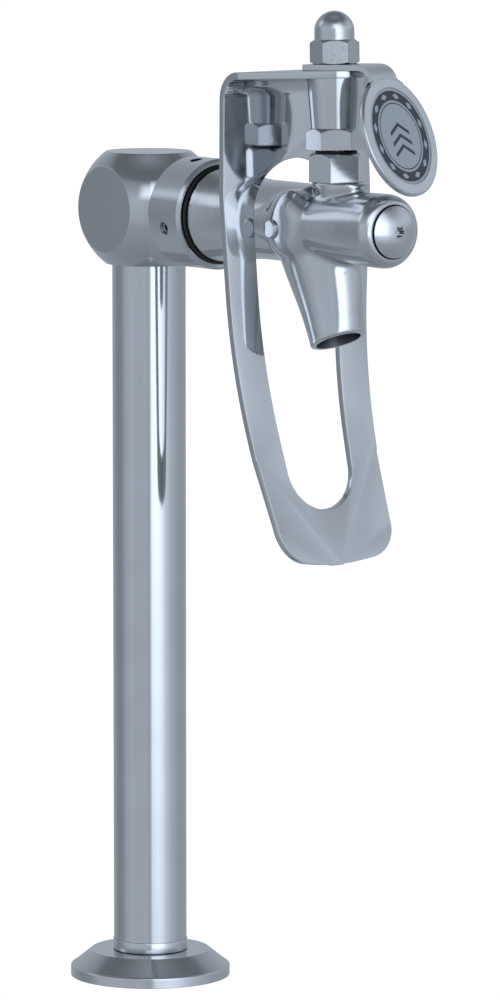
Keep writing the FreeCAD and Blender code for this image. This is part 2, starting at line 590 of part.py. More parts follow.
def make_tap_body():
    """One casting: tapered barrel, oval nose, leaning spout and the necked bonnet seat."""
    barrel = turned("casting_barrel", [
        ("barrelStart", "0"), ("barrelEnd + barrelTail", "0"), ("barrelEnd + barrelTail", "barrelTailRadius"),
        ("barrelEnd", "barrelRadius"), ("barrelTaperEnd", "barrelRadius"),
        ("barrelStart + 0.8", "barrelRearRadius", "-barrelSweep"), ("barrelStart", "barrelRearRadius - 0.8")],
        axis="H_Axis", where=tap_frame)
    stations = [("noseRear", "noseRearWidth", "noseRearHeight"),
                ("noseMiddle", "noseMiddleWidth", "noseMiddleHeight"),
                ("noseNeck", "noseNeckWidth", "noseNeckHeight")]
    nose_sections = [ellipse(f"nose_section_{i}", wide, high, y=f"-({forward})", z="tapHeight",
                             turn="rotationx(90)") for i, (forward, wide, high) in enumerate(stations)]
    nose_sections += [circle(f"nose_ring_{i}", "noseRadius", y=f"-({forward})", z="tapHeight",
                             turn="rotationx(90)") for i, forward in enumerate(("noseRingStart", "noseRoundStart"))]
    nose = loft("casting_nose", nose_sections)
    drop = "(noseRadius - noseFaceRadius)"
    ring = turned("casting_nose_ring", [
        ("noseRoundStart", "0"), ("noseFront", "0"), ("noseFront", "noseFaceRadius"),
        ("noseRoundStart", "noseRadius", f"((noseFront - noseRoundStart) ^ 2 + {drop} ^ 2) / (2 * {drop})")],
        axis="H_Axis", where=tap_frame)
    levels = [("spoutTopForward", "-spoutTopAbove", "spoutTopDepth", "spoutTopWidth"),
              ("spoutRootForward", "spoutRootBelow", "spoutRootDepth", "spoutRootWidth"),
              ("spoutMidForward", "spoutMidBelow", "spoutMidDepth", "spoutMidWidth")]
    sections = [ellipse(f"spout_section_{i}", deep, wide, y=f"-{forward}", z=f"tapHeight - ({below})",
                        turn="rotationz(90)") for i, (forward, below, deep, wide) in enumerate(levels)]
    outlet = dict(y="-spoutForward", z="tapHeight - spoutDrop", turn="rotationx(-outletTilt) * rotationz(90)")
    spout = loft("casting_spout", sections + [circle("spout_outlet", "spoutRadius", **outlet)])
    levels = [("rootRise", "rootDepth", "rootWidth"), ("padRise - waistDrop", "waistDepth", "waistWidth"),
              ("padRise - padThickness", "padDepth", "padWidth"), ("padRise", "padDepth", "padWidth")]
    neck = loft("casting_neck", [ellipse(f"neck_section_{i}", deep, wide, y="-padForward",
                                         z=f"tapHeight + {rise}", turn="rotationz(90)")
                                 for i, (rise, deep, wide) in enumerate(levels)])
    thread = cylinder("casting_bonnet_thread", "bonnetThread", "bonnetThreadHeight + 4", y="-bonnetForward",
                      z="tapHeight + padRise - 4")
    whole = group("MultiFuse", "casting_whole", [barrel, nose, ring, spout, neck, thread])
    hollow = turned("casting_bore", [
        ("barrelStart - 1", "0"), ("noseFront + 1", "0"), ("noseFront + 1", "capRadius + 0.5"),
        ("capSeat", "capRadius + 0.5"), ("capSeat", "noseThread"), ("capSeat - noseThreadDepth", "noseThread"),
        ("capSeat - noseThreadDepth", "boreRadius"), ("valveSeat", "boreRadius"), ("valveSeat", "chamberRadius"),
        ("shankEnd", "chamberRadius"), ("shankEnd", "shankRadius + seatFit"),
        ("barrelStart - 1", "shankRadius + seatFit")], axis="H_Axis", where=tap_frame)
    mouth = dict(y="-spoutForward - sin(outletTilt)", z="tapHeight - spoutDrop - cos(outletTilt)",
                 turn="rotationx(-outletTilt) * rotationz(90)")
    passage = loft("casting_passage", [
        circle("passage_top", "passageRadius", y="-spoutTopForward", z="tapHeight", turn="rotationz(90)"),
        circle("passage_mouth", "outletBore", **mouth)])
    well = cylinder("casting_well", "tailWell", "pivotRise", y="-bonnetForward", z="tapHeight")
    seat = cylinder("casting_seat", "seatRadius", "pivotRise", y="-bonnetForward", z="tapHeight + seatBottom")
    drilled = shape_object("Cylinder", "casting_plug_hole",
                           dict(x="-plugRoot", y="-plugForward", z="tapHeight - plugBelow", turn="rotationy(-90)"),
                           Radius="plugRadius + seatFit", Height="plugReach")
    return cut("tap_body", whole, [hollow, passage, well, seat, drilled])


def make_side_plug():
    where = dict(y="-plugForward", z="tapHeight - plugBelow", turn="rotationy(-90)")
    return turned("side_plug", [("0", "plugRoot"), ("plugRadius", "plugRoot"), ("plugRadius", "plugReach - plugEdge"),
                                ("plugRadius - plugEdge", "plugReach"), ("0", "plugReach")], where=where)


def make_nose_cap():
    """Domed cap on a threaded plug, with a six-lobed drive socket at the middle of the dome."""
    blank = turned("cap_blank", [
        ("capSeat - capPlugLength", "0"), ("capFront", "0"), ("capSeat + capEdge", "capRadius", "capSphere"),
        ("capSeat", "capRadius"), ("capSeat", "noseThread - seatFit"),
        ("capSeat - capPlugLength", "noseThread - seatFit")], axis="H_Axis", where=tap_frame)
    lobes = [forward_cylinder("cap_socket", "capSocket * 0.72", "capFront - capSocketDepth", "capFront + 1")]
    for index in range(6):
        lobes.append(forward_cylinder(
            f"cap_lobe_{index}", "capSocket * 0.26", "capFront - capSocketDepth", "capFront + 1",
            x=f"capSocket * 0.74 * cos({index * 60})", z=f"tapHeight + capSocket * 0.74 * sin({index * 60})"))
    return cut("nose_cap", blank, lobes)


def make_plunger():
    """Stem with the valve head at the rear and the collar that the lever's tail pushes."""
    ring_start = "collarEnd - ringFromFront - ringWidth - 2 * seatFit"
    ring_end = "collarEnd - ringFromFront"
    slide = "boreRadius - runFit"
    blank = turned("plunger_blank", [
        ("plungerRear", "0"), ("collarEnd", "0"), ("collarEnd", slide), (ring_end, slide),
        (ring_end, "boreRadius - ringGroove"), (ring_start, "boreRadius - ringGroove"), (ring_start, slide),
        ("collarStart", slide), ("collarStart", "plungerRadius"), ("headEnd", "plungerRadius"),
        ("headEnd", "headRadius"), ("headStart", "headRadius"), ("headStart", "plungerRadius"),
        ("plungerRear", "plungerRadius")], axis="H_Axis", where=tap_frame)
    hole = cylinder("plunger_tail_hole", "tailBall + tailFit", "boreRadius + tailBall", y="-tailForward",
                    z="tapHeight + pivotRise - tailLength - tailBall - 0.5")
    plunger = cut("plunger", blank, [hole])
    ring = turned("plunger_ring", [
        (f"{ring_start} + seatFit", "boreRadius - ringGroove + seatFit"),
        (f"{ring_end} - seatFit", "boreRadius - ringGroove + seatFit"),
        (f"{ring_end} - seatFit", slide), (f"{ring_start} + seatFit", slide)], axis="H_Axis", where=tap_frame)
    seal = turned("valve_seal", [
        ("headEnd", "plungerRadius + seatFit / 2"),
        ("headEnd + valveSealThickness", "plungerRadius + seatFit / 2"),
        ("headEnd + valveSealThickness", "valveSealRadius - 1"),
        ("headEnd + valveSealThickness - 1", "valveSealRadius"),
        ("headEnd", "valveSealRadius")], axis="H_Axis", where=tap_frame)
    return [plunger, ring, seal]


def make_return_spring():
    """Coil spring between the shank and the plunger's head, one tilted half ring for each half turn."""
    start = "(shankEnd + springEndGap + springWire)"
    end = "(headStart - springEndGap - springWire)"
    halves = int(number("springTurns") * 2)
    rise = f"(({end} - {start}) / {halves})"
    rings = []
    for index in range(halves):
        turn = f"rotationz({180 * (index % 2)}) * rotationy(atan({rise} / (2 * springRadius)))"
        where = dict(chain=spot(y=f"-{start}", z="tapHeight", turn="rotationx(90)"),
                     z=f"{index + 0.5} * {rise}", turn=turn)
        rings.append(shape_object("Torus", f"spring_half_{index}", where, Angle3="180", Radius2="springWire",
                                  Radius1=f"sqrt(springRadius ^ 2 + ({rise} / 2) ^ 2)"))
    return group("MultiFuse", "return_spring", rings)


def make_ball_seat():
    ring = turned("ball_seat_ring", [
        ("tailWell - 0.6", "seatBottom + seatFit"), ("seatRadius - seatFit", "seatBottom + seatFit"),
        ("seatRadius - seatFit", "seatBottom + seatHeight"), ("tailWell - 0.6", "seatBottom + seatHeight")],
        where=dict(y="-bonnetForward", z="tapHeight"))
    ball = shape_object("Sphere", "ball_seat_ball", dict(y="-bonnetForward", z="pivotHeight"),
                        Radius="ballRadius + runFit")
    return cut("ball_seat", ring, [ball])


def make_bonnet():
    """Hexagon cap nut that holds the lever's ball down, and the black wiper on it."""
    bar = hexagon("bonnet_bar", "bonnetFlats", "bonnetHeight",
                  dict(y="-bonnetForward", z="tapHeight + padRise + seatFit", turn="rotationz(bonnetTurn - 90)"),
                  "hexChamfer")
    thread = cylinder("bonnet_bore", "bonnetThread + seatFit", "bonnetThreadHeight + 2 * seatFit",
                      y="-bonnetForward", z="tapHeight + padRise")
    ball = shape_object("Sphere", "bonnet_ball", dict(y="-bonnetForward", z="pivotHeight"),
                        Radius="ballRadius + runFit")
    hole = cylinder("bonnet_hole", "bonnetHole", "bonnetHeight + 2", y="-bonnetForward", z="pivotHeight")
    nut = cut("bonnet_nut", bar, [thread, ball, hole])
    wiper = turned("stem_wiper", [
        ("bonnetHole", "bonnetTop"), ("wiperRadius", "bonnetTop"), ("wiperRadius", "bonnetTop + wiperThickness"),
        ("bonnetHole", "bonnetTop + wiperThickness")], where=dict(y="-bonnetForward", z="tapHeight"))
    return [nut, wiper]


# Lever

def make_spindle():
    """Ball spindle: threaded stem above the ball, ball-ended tail below it."""
    ball = shape_object("Sphere", "spindle_ball", lever_frame, Radius="ballRadius")
    stem = turned("spindle_stem", [
        ("0", "-tailLength"), ("tailRadius", "-tailLength"), ("tailRadius", "0"), ("stemNeck", "0"),
        ("stemNeck", "sleeveStart"), ("stemThread", "sleeveStart"), ("stemThread", "sleeveStart + stemThreadLength"),
        ("0", "sleeveStart + stemThreadLength")], where=lever_frame)
    tail = shape_object("Sphere", "spindle_tail", dict(
        y="-bonnetForward - tailLength * sin(leverTilt)", z="pivotHeight - tailLength * cos(leverTilt)"),
        Radius="tailBall")
    return group("MultiFuse", "lever_spindle", [ball, stem, tail])


def make_sleeve():
    """Tapered sleeve on a hexagon, bored for the spindle below and the stud above."""
    tilted = "rotationx(-leverTilt) * rotationz(-90 - sleeveTurn)"
    bar = hexagon("sleeve_bar", "sleeveFlats", "sleeveHex",
                  dict(y="-bonnetForward - sleeveStart * -sin(leverTilt)",
                       z="pivotHeight + sleeveStart * cos(leverTilt)", turn=tilted), "hexChamfer")
    cone = turned("sleeve_cone", [
        ("0", "sleeveStart + 1"), ("sleeveLowRadius", "sleeveStart + 1"),
        ("sleeveLowRadius", "sleeveStart + sleeveHex"), ("sleeveTopRadius", "sleeveTop"), ("0", "sleeveTop")],
        where=lever_frame)
    bore = turned("sleeve_bore", [
        ("0", "sleeveStart - 1"), ("stemThread + seatFit", "sleeveStart - 1"),
        ("stemThread + seatFit", "sleeveTop - studDepth - 1"), ("studRadius + seatFit", "sleeveTop - studDepth - 1"),
        ("studRadius + seatFit", "sleeveTop + 1"), ("0", "sleeveTop + 1")], where=lever_frame)
    return cut("lever_sleeve", group("MultiFuse", "sleeve_whole", [bar, cone]), [bore])


def make_stud():
    return turned("lever_stud", [
        ("0", "sleeveTop - studDepth"), ("studRadius", "sleeveTop - studDepth"),
        ("studRadius", "stripTop + studAbove - 1"),
        ("studRadius - 1", "stripTop + studAbove"), ("0", "stripTop + studAbove")], where=lever_frame)


def make_lever_plate():
    """Folded sheet: tongue over the sleeve, slotted back, kneed paddle with creased wings.

    The body's origin is the lever's ball, its X is across and its sketch runs backwards (Y) and up the back.
    """
    half = "plateThickness / 2"
    lean, knee = "(leverTilt - plateLean)", "kneeAngle"
    apex = f"((plateBehind - tongueMid * sin({lean})) / cos({lean}))"
    rise = f"(tongueMid * cos({lean}) - {apex} * sin({lean}))"
    bend_in, bend_out = f"(plateBend - {half})", f"(plateBend + {half})"
    reach = f"(plateBend * tan((90 - {lean}) / 2))"

    def tongue(along, side):
        """Point of the tongue, along its mid line to the rear of the stem axis, side above it."""
        return (f"tongueMid * sin({lean}) + ({along}) * cos({lean}) + ({side}) * sin({lean})",
                f"tongueMid * cos({lean}) - ({along}) * sin({lean}) + ({side}) * cos({lean})")

    def paddle(down, side):
        """Point of the paddle below the knee, measured straight down, side to the rear of its mid sheet."""
        return (f"plateBehind - kneeRadius * (1 - cos({knee})) - ({down} - kneeRadius * sin({knee})) * tan({knee})"
                f" + ({side}) * cos({knee})", f"-plateKneeBelow - ({down}) - ({side}) * sin({knee})")

    foot = "plateFootBelow - plateKneeBelow"
    drop = f"kneeRadius * sin({knee})"
    tip = "-tongueRadius - 2"
    start = f"({apex} - {reach})"
    stand = plate_frame
    body = new_body("plate_sheet", **stand)
    side_view = outline(body, "plate_side", "YZ_Plane", [
        tongue(tip, f"-{half}"),
        tongue(start, f"-{half}"),
        (f"plateBehind - {half}", f"{rise} - {reach}", f"-{bend_in}"),
        (f"plateBehind - {half}", "-plateKneeBelow"),
        paddle(drop, f"-{half}") + (f"-(kneeRadius - {half})",),
        paddle(foot, f"-{half}"),
        paddle(foot, half),
        paddle(drop, half),
        (f"plateBehind + {half}", "-plateKneeBelow", f"kneeRadius + {half}"),
        (f"plateBehind + {half}", f"{rise} - {reach}"),
        tongue(start, half) + (bend_out,),
        tongue(tip, half)])
    pad(body, side_view, "2 * plateHalfTop", midplane=True)

    # front outline with rounded foot
    corner_top = "-plateFootBelow + footRise + footCorner"
    front = new_body("plate_front", **stand)
    edge = outline(front, "plate_edge", "XZ_Plane", [
        ("-plateHalfFoot + footCorner", "-plateFootBelow + footRise / 2", "footCorner * 1.08"),
        ("plateHalfFoot - footCorner", "-plateFootBelow + footRise / 2", "footArc"),
        ("plateHalfFoot", corner_top, "footCorner * 1.08"),
        ("plateHalfMiddle", "-plateKneeBelow"),
        ("plateHalfTop", "-plateShoulderBelow"),
        ("plateHalfCrown", rise),
        ("plateHalfCrown", f"{rise} + 40"),
        ("-plateHalfCrown", f"{rise} + 40"),
        ("-plateHalfCrown", rise),
        ("-plateHalfTop", "-plateShoulderBelow"),
        ("-plateHalfMiddle", "-plateKneeBelow"),
        ("-plateHalfFoot", corner_top)])
    pad(front, edge, "4 * plateHalfTop", midplane=True)
    faced = group("MultiCommon", "plate_faced", [body, front])

    # long slot: a tapered outline with round ends
    side = "asin((slotTopRadius - slotLowRadius) / (slotLowBelow - slotTopBelow))"
    slot = new_body("plate_slot", **stand)
    ends = [(f"{r} * cos({side})", f"-{below} - {r} * sin({side})", r) for r, below in
            (("slotTopRadius", "slotTopBelow"), ("slotLowRadius", "slotLowBelow"))]
    rim = outline(slot, "slot_edge", "XZ_Plane", [
        (ends[1][0], ends[1][1], "slotLowRadius"), (ends[0][0], ends[0][1]),
        ("0", "-slotTopBelow + slotTopRadius", "slotTopRadius"),
        (f"-{ends[0][0]}", ends[0][1], "slotTopRadius"), (f"-{ends[1][0]}", ends[1][1]),
        ("0", "-slotLowBelow - slotLowRadius", "slotLowRadius")])
    pad(slot, rim, "4 * plateBehind", midplane=True)

    # sides of the tongue, cut away down to its round end
    stem = f"(tongueMid * sin({lean}))"
    wide = f"({stem} + {start} * cos({lean}))"
    slope = f"atan(({wide} - {stem}) / plateHalfTop)"
    touch = f"({slope} - acos(tongueRadius / sqrt(plateHalfTop ^ 2 + ({wide} - {stem}) ^ 2)))"
    trim = new_body("tongue_trim", **stand)
    cheeks = outline(trim, "tongue_edge", "XY_Plane", [
        ("-plateHalfTop - 2", wide), ("-plateHalfTop - 2", f"{stem} - tongueRadius - 6"),
        ("plateHalfTop + 2", f"{stem} - tongueRadius - 6"), ("plateHalfTop + 2", wide), ("plateHalfTop", wide),
        (f"tongueRadius * cos({touch})", f"{stem} + tongueRadius * sin({touch})"),
        (f"-tongueRadius * cos({touch})", f"{stem} + tongueRadius * sin({touch})", "-tongueRadius"),
        ("-plateHalfTop", wide)], offset=spot(z=f"{rise} - plateBend"))
    pad(trim, cheeks, "3 * plateBend")
    hole = cylinder("plate_stud_hole", "studRadius + seatFit", "4 * plateThickness",
                    chain=spot(**lever_frame), z="tongueMid - 2 * plateThickness")

    # wings of the paddle, turned forward about the rear line of each crease
    reach_down = "kneeRadius * sin(kneeAngle)"
    top = f"(-(creaseTopBelow - plateKneeBelow - {reach_down}) / cos(kneeAngle))"
    low = f"(-(plateFootBelow - plateKneeBelow - {reach_down}) / cos(kneeAngle))"
    run, climb = "(creaseOut - creaseIn)", f"({top} - {low})"
    masks, wings = [], []
    for sign, label in (("1", "right"), ("-1", "left")):
        mask = new_body(f"wing_mask_{label}", chain=paddle_chain)
        area = outline(mask, f"wing_area_{label}", "XZ_Plane", [
            (f"{sign} * (creaseIn - 0.3 * {run})", f"{low} - 0.3 * {climb}"),
            (f"{sign} * (plateHalfTop + 2)", f"{low} - 0.3 * {climb}"),
            (f"{sign} * (plateHalfTop + 2)", f"{top} + 0.35 * {climb}"),
            (f"{sign} * (creaseOut + 0.35 * {run})", f"{top} + 0.35 * {climb}")])
        pad(mask, area, "6 * plateThickness", midplane=True)
        masks.append(mask)
        wing = group("MultiCommon", f"wing_{label}", [faced, mask])
        hinge = paddle_chain + " * " + spot(x=f"{sign} * creaseIn", y=half, z=low)
        turn = f"rotation(vector({sign} * {run}; 0; {climb}); -({sign}) * wingAngle)"
        place(wing, chain=f"{hinge} * {spot(turn=turn)} * minvert({hinge})")
        wings.append(wing)
    main_sheet = cut("plate_main", faced, masks)
    folded = group("MultiFuse", "plate_folded", [main_sheet] + wings)
    return cut("lever_plate", folded, [slot, trim, hole])


def make_bracket():
    """Strip under the acorn nut that bends down to the round badge plate."""
    half = "stripThickness / 2"
    middle = f"(stripBottom + {half})"
    rise = f"(({middle} - badgeRise) / cos(badgeLean))"
    corner = f"(badgeForward - {rise} * sin(badgeLean))"
    reach = "(stripBend * tan((90 - badgeLean) / 2))"

    def hanging(up, side):
        """Point of the hanging part, up the badge's plane from its centre, side to the rear."""
        return (f"-badgeForward + ({up}) * sin(badgeLean) + ({side}) * cos(badgeLean)",
                f"badgeRise + ({up}) * cos(badgeLean) - ({side}) * sin(badgeLean)")

    strip = new_body("bracket_strip", chain=bracket_chain)
    side_view = outline(strip, "bracket_side", "YZ_Plane", [
        ("stripBehind", "stripBottom"),
        (f"-({corner} - {reach})", "stripBottom"),
        hanging(f"{rise} - {reach}", half) + (f"stripBend - {half}",),
        hanging("badgeRadius * 0.6", half),
        hanging("badgeRadius * 0.6", f"-{half}"),
        hanging(f"{rise} - {reach}", f"-{half}"),
        (f"-({corner} - {reach})", "stripTop", f"-(stripBend + {half})"),
        ("stripBehind", "stripTop")])
    pad(strip, side_view, "2 * stripHalf", midplane=True)
    flare = new_body("bracket_flare", chain=badge_chain)
    across, up = "(badgeRadius * cos(shoulderAngle))", "(badgeRadius * sin(shoulderAngle))"
    root = f"({up} + ({across} - stripHalf) / tan(shoulderAngle))"
    shoulders = outline(flare, "bracket_shoulders", "XZ_Plane", [
        (across, up), ("stripHalf", root), ("-stripHalf", root), (f"-{across}", up)])
    pad(flare, shoulders, "stripThickness", midplane=True)
    rim = "badgeThickness / 2"
    disc = turned("bracket_disc", [
        (f"-{rim}", "0"), (rim, "0"), (rim, "badgeRadius - badgeEdge"),
        (f"{rim} - badgeEdge", "badgeRadius", "badgeEdge"),
        (f"-{rim} + badgeEdge", "badgeRadius"), (f"-{rim}", "badgeRadius - badgeEdge", "badgeEdge")],
        axis="H_Axis", where=dict(chain=badge_chain))
    recess = cylinder("bracket_recess", "badgeRecess", "badgeThickness", chain=badge_chain,
                      y=f"-{rim} + badgeRecessDepth", turn="rotationx(90)")
    hole = cylinder("bracket_stud_hole", "studRadius + seatFit", "4 * stripThickness",
                    chain=spot(**lever_frame), z="stripBottom - stripThickness")
    bracket = cut("badge_bracket", group("MultiFuse", "bracket_whole", [strip, flare, disc]), [recess, hole])
    insert = cylinder("badge_insert", "badgeRecess - seatFit", "insertThickness", chain=badge_chain,
                      y=f"-{rim} + badgeRecessDepth", turn="rotationx(90)")
    return [bracket, insert]


def make_acorn():
    """Domed nut on the stud."""
    stand = dict(chain=spot(**lever_frame), z="stripTop", turn="rotationz(-90 - acornTurn)")
    bar = hexagon("acorn_bar", "acornFlats", "acornHex", stand, "acornChamfer", "acornChamfer * 0.6")
    dome = turned("acorn_dome", [
        ("0", "acornHex / 2"), ("acornDome", "acornHex / 2"), ("acornDome", "acornHeight - acornDome"),
        ("0", "acornHeight", "acornDome")], where=stand)
    bore = turned("acorn_bore", [
        ("0", "-1"), ("studRadius + seatFit", "-1"), ("studRadius + seatFit", "studAbove + 0.5"),
        ("0", "studAbove + 2.5")], where=stand)
    return cut("acorn_nut", group("MultiFuse", "acorn_whole", [bar, dome]), [bore])


def main():
    nodes = [make_base_flange(), *make_column(), *make_elbow(), make_beer_line(), *make_coupling_nut(),
             *make_shank(), make_tap_body(), make_side_plug(), make_nose_cap(), *make_plunger(),
             make_return_spring(), make_ball_seat(), *make_bonnet(), make_spindle(), make_sleeve(),
             make_stud(), make_lever_plate(), *make_bracket(), make_acorn()]
    doc.recompute()
    for thing in doc.Objects:
        if "Invalid" in thing.State or "Error" in thing.State:
            raise RuntimeError(f"{thing.Name} failed: {thing.State}")
    os.makedirs("parts", exist_ok=True)
    for node in nodes:
        shape = node.Shape
        if shape.isNull() or not shape.isValid():
            raise RuntimeError(f"{node.Label} has no valid shape")
        print(f"{node.Label:16s} solids {len(shape.Solids)}  volume {shape.Volume:9.1f}")
        shape.exportStep(f"parts/{node.Label}.step")


main()
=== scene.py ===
import bpy
import json
import math
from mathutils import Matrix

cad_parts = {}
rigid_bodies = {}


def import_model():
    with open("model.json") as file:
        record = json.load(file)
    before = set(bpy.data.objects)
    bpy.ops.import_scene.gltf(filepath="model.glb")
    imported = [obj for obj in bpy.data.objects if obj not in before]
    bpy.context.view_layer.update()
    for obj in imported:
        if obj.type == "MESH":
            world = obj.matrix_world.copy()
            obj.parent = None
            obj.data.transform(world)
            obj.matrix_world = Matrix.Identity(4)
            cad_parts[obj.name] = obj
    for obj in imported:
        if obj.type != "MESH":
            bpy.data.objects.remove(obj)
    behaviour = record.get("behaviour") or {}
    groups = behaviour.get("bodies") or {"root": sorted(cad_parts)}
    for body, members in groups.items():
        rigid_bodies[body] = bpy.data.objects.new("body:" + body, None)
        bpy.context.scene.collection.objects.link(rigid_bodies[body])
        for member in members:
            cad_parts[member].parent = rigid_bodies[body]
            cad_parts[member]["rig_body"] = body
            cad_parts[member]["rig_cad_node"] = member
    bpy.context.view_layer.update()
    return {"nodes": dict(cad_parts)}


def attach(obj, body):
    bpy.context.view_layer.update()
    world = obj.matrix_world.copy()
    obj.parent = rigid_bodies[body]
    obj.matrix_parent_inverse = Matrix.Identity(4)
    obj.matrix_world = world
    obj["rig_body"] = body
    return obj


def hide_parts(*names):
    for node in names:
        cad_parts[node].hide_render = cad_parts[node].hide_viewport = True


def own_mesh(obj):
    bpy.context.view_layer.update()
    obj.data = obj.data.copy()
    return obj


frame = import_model()
nodes = frame["nodes"]
print("frame loaded,", len(nodes), "nodes")


# Camera: a long lens from the left front, a little above the tap
photoCamera = {
    "distance": 2.709,
    "eyeHeight": 0.5537,
    "towards": (-0.605, -0.797),
    "aimRight": 100.2,
    "aimDown": 783.6,
    "focalPixels": 6180.0,
    "lens": 225.1,
}


def addCamera(setup):
    backX, backY = setup["towards"]
    sideX, sideY = -backY, backX
    aimX = -backX * setup["focalPixels"] + sideX * setup["aimRight"]
    aimY = -backY * setup["focalPixels"] + sideY * setup["aimRight"]
    turn = (math.atan2(math.hypot(aimX, aimY), setup["aimDown"]), 0, math.atan2(-aimX, aimY))
    place = (backX * setup["distance"], backY * setup["distance"], setup["eyeHeight"])
    bpy.ops.object.camera_add(location=place, rotation=turn)
    camera = bpy.context.object
    camera.name = "photoCamera"
    camera.data.lens = setup["lens"]
    camera.data.clip_start, camera.data.clip_end = 0.1, 60.0
    bpy.context.scene.camera = camera


addCamera(photoCamera)
print("camera placed")


# Node helpers
def startMaterial(name):
    material = bpy.data.materials.new(name)
    material.use_nodes = True
    return material, material.node_tree, material.node_tree.nodes["Principled BSDF"]


def addNode(tree, kind, inputs=None, **settings):
    node = tree.nodes.new(kind)
    for key, value in settings.items():
        setattr(node, key, value)
    for key, value in (inputs or {}).items():
        if isinstance(value, bpy.types.NodeSocket):
            tree.links.new(value, node.inputs[key])
        else:
            node.inputs[key].default_value = value
    return node


def sums(tree, operation, first, second=0.0, third=0.0):
    return addNode(tree, "ShaderNodeMath", {0: first, 1: second, 2: third}, operation=operation).outputs[0]


def grainOf(tree, scale, detail, stretch=(1, 1, 1)):
    place = addNode(tree, "ShaderNodeTexCoord").outputs["Object"]
    spread = addNode(tree, "ShaderNodeMapping", {"Vector": place, "Scale": stretch}).outputs["Vector"]
    return addNode(tree, "ShaderNodeTexNoise", {"Vector": spread, "Scale": scale, "Detail": detail}).outputs["Fac"]


def between(tree, source, low, high, fromLow=0.3, fromHigh=0.7):
    return addNode(tree, "ShaderNodeMapRange", {"Value": source, "From Min": fromLow, "From Max": fromHigh,
                                                "To Min": low, "To Max": high}).outputs["Result"]


def mixed(tree, share, first, second):
    node = addNode(tree, "ShaderNodeMix", {"Factor": share}, data_type="RGBA")
    for index, value in ((6, first), (7, second)):
        if isinstance(value, bpy.types.NodeSocket):
            tree.links.new(value, node.inputs[index])
        else:
            node.inputs[index].default_value = (*value, 1)
    return node.outputs[2]


# Metals: smudged colour and gloss, a fine grain, painted shade in the corners, and edges that are broken a little
metalSetup = {
    "cloudScale": 32.0,
    "grainDepth": 0.00004,
    "paintedShadeReach": 0.002,  # how near another surface a corner takes painted shade
    "paintedShadeRange": (0.25, 0.62),  # the open share at which the painted shade is darkest, and at which it is gone
    "paintedShadeFactor": 0.12,
}


def metalFinish(name, colour, rough, grain, stretch, bump, edge, cloud=0.06, speckle=0.0):
    material, tree, shader = startMaterial(name)
    shader.inputs["Metallic"].default_value = 1.0
    clouds = grainOf(tree, metalSetup["cloudScale"], 3.0)
    lines = grainOf(tree, grain, 4.0, stretch)
    tone = between(tree, clouds, 0.0, 1.0)
    unshadedColour = mixed(tree, tone, colour, tuple(c * (1 - cloud) for c in colour))
    # painted shade: the base colour is darkened where ambient occlusion finds another surface near
    corner = addNode(tree, "ShaderNodeAmbientOcclusion", {"Distance": metalSetup["paintedShadeReach"]}, samples=8)
    paintedShadeShare = between(tree, corner.outputs["AO"], 0.0, 1.0, *metalSetup["paintedShadeRange"])
    paintedShadeColour = tuple(c * metalSetup["paintedShadeFactor"] for c in colour)
    tree.links.new(mixed(tree, paintedShadeShare, paintedShadeColour, unshadedColour), shader.inputs["Base Color"])
    gloss = sums(tree, "ADD", between(tree, clouds, rough * 0.8, rough * 1.2),
                 between(tree, lines, -rough * 0.2, rough * 0.2 + speckle))
    tree.links.new(gloss, shader.inputs["Roughness"])
    soft = addNode(tree, "ShaderNodeBevel", {"Radius": edge}, samples=4).outputs["Normal"]
    dent = addNode(tree, "ShaderNodeBump", {"Strength": bump, "Distance": metalSetup["grainDepth"],
                                            "Height": lines, "Normal": soft})
    tree.links.new(dent.outputs["Normal"], shader.inputs["Normal"])
    return material


def dullFinish(name, colour, rough, bump):
    material, tree, shader = startMaterial(name)
    grain = grainOf(tree, 900.0, 3.0)
    tree.links.new(mixed(tree, grain, colour, tuple(c * 0.7 for c in colour)), shader.inputs["Base Color"])
    tree.links.new(between(tree, grain, rough - 0.05, rough + 0.05), shader.inputs["Roughness"])
    dent = addNode(tree, "ShaderNodeBump", {"Strength": bump, "Distance": 0.0001, "Height": grain})
    tree.links.new(dent.outputs["Normal"], shader.inputs["Normal"])
    return material


# Badge: a satin face with a dark band of small diamonds round it and three chevrons in the middle
badgeSetup = {
    "centre": (0.0098462, -0.1594994, 0.3774286),
    "heading": 18.15,
    "lean": 18.93,
    "radius": 0.0209,
    "band": (0.74, 0.94),
    "diamonds": 12,
    "diamondSize": 0.062,
    "diamondSqueeze": 0.55,
    "line": 0.012,
    "lineInset": 0.06,
    "chevronWidth": 0.34,
    "chevronStep": 0.22,
    "chevronSlope": -0.55,
    "chevronShift": 0.02,
    "chevronBar": 0.36,  # share of a step that is inked
    "stackMiddle": 0.07,
    "stackSteps": 1.45,  # steps above and below the middle
    "field": (0.33, 0.38, 0.44),
    "ink": (0.012, 0.016, 0.028),
}


